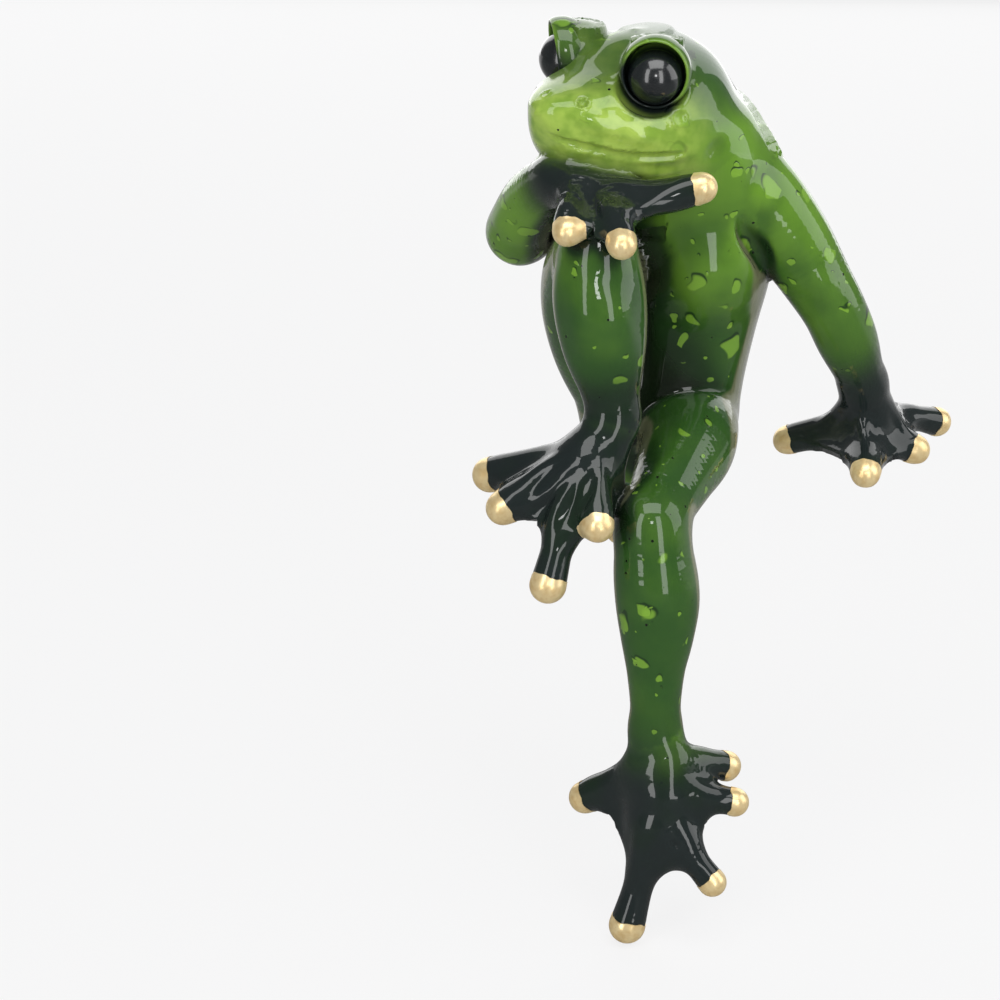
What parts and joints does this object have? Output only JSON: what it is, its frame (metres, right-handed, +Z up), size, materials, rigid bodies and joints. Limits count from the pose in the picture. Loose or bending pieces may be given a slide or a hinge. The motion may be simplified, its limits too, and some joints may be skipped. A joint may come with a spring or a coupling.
{
  "type": "shelf-sitting frog figurine",
  "caption": "Glazed frog ornament that sits on the edge of a shelf with one leg hanging over it, a knee drawn up and its chin on its hand.",
  "frame": {"origin": "on the underside of the felt pad under the seat, at the height of the shelf, midway between the hips", "axes": "+Z up from the shelf, -Y the way the body faces and the front of the shelf, +X the frog's left side"},
  "size_m": [0.108, 0.1274, 0.2267],
  "materials": {
    "green_glaze": "high-gloss translucent green lacquer with droplet spots, over cast resin",
    "dark_glaze": "high-gloss near-black bottle green lacquer, over cast resin",
    "gilt": "brushed pale gold paint, satin",
    "eye_black": "polished black",
    "pin_steel": "plain drawn rod",
    "felt": "thin wool felt"
  },
  "bodies": {
    "root": {"seat_felt": "felt", "torso": "green_glaze", "head": "green_glaze", "left_eye": "eye_black", "right_eye": "eye_black", "left_thigh": "green_glaze", "left_shin": "green_glaze", "left_foot": "dark_glaze", "left_toe_ends": "gilt", "right_thigh": "green_glaze", "right_shin": "green_glaze", "right_foot": "dark_glaze", "right_toe_ends": "gilt", "left_arm": "green_glaze", "left_hand": "dark_glaze", "left_finger_ends": "gilt", "right_arm": "green_glaze", "right_hand": "dark_glaze", "right_finger_ends": "gilt", "neck_pin": "pin_steel", "shoulder_pins": "pin_steel", "hip_pins": "pin_steel", "knee_pins": "pin_steel", "wrist_pins": "pin_steel", "ankle_pins": "pin_steel"}
  },
  "joints": []
}
